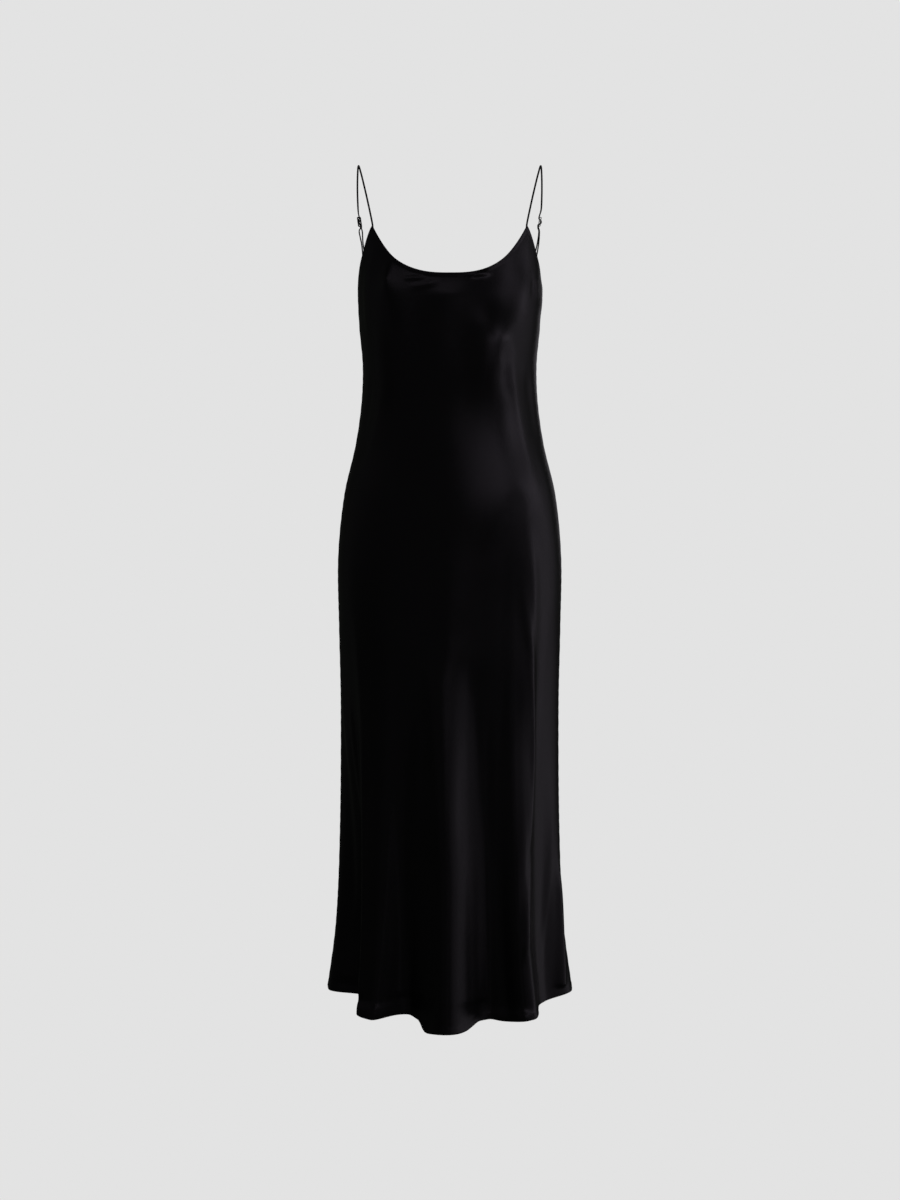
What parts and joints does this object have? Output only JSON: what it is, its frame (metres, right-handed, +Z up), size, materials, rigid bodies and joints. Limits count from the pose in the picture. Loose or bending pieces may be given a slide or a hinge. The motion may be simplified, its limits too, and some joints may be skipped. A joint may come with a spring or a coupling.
{
  "type": "slip dress",
  "caption": "Long bias-cut slip dress in black satin: scoop neck, open armholes, flared hem with soft flutes, thin shoulder straps with sliders and rings; worn hollow form.",
  "frame": {"origin": "midway between the tops of the two shoulder straps, where the wearer's shoulders hold the dress", "axes": "+Z up along the dress, +X towards the wearer's left side, front towards -Y"},
  "size_m": [0.3609, 0.362, 1.2241],
  "materials": {
    "satin": "black satin",
    "coated_metal": "black coating"
  },
  "bodies": {
    "root": {"front_panel": "satin", "back_panel": "satin", "strap_right": "satin", "strap_left": "satin", "ring_loop_right": "satin", "ring_loop_left": "satin", "slider_right": "coated_metal", "slider_left": "coated_metal", "ring_right": "coated_metal", "ring_left": "coated_metal"}
  },
  "joints": []
}
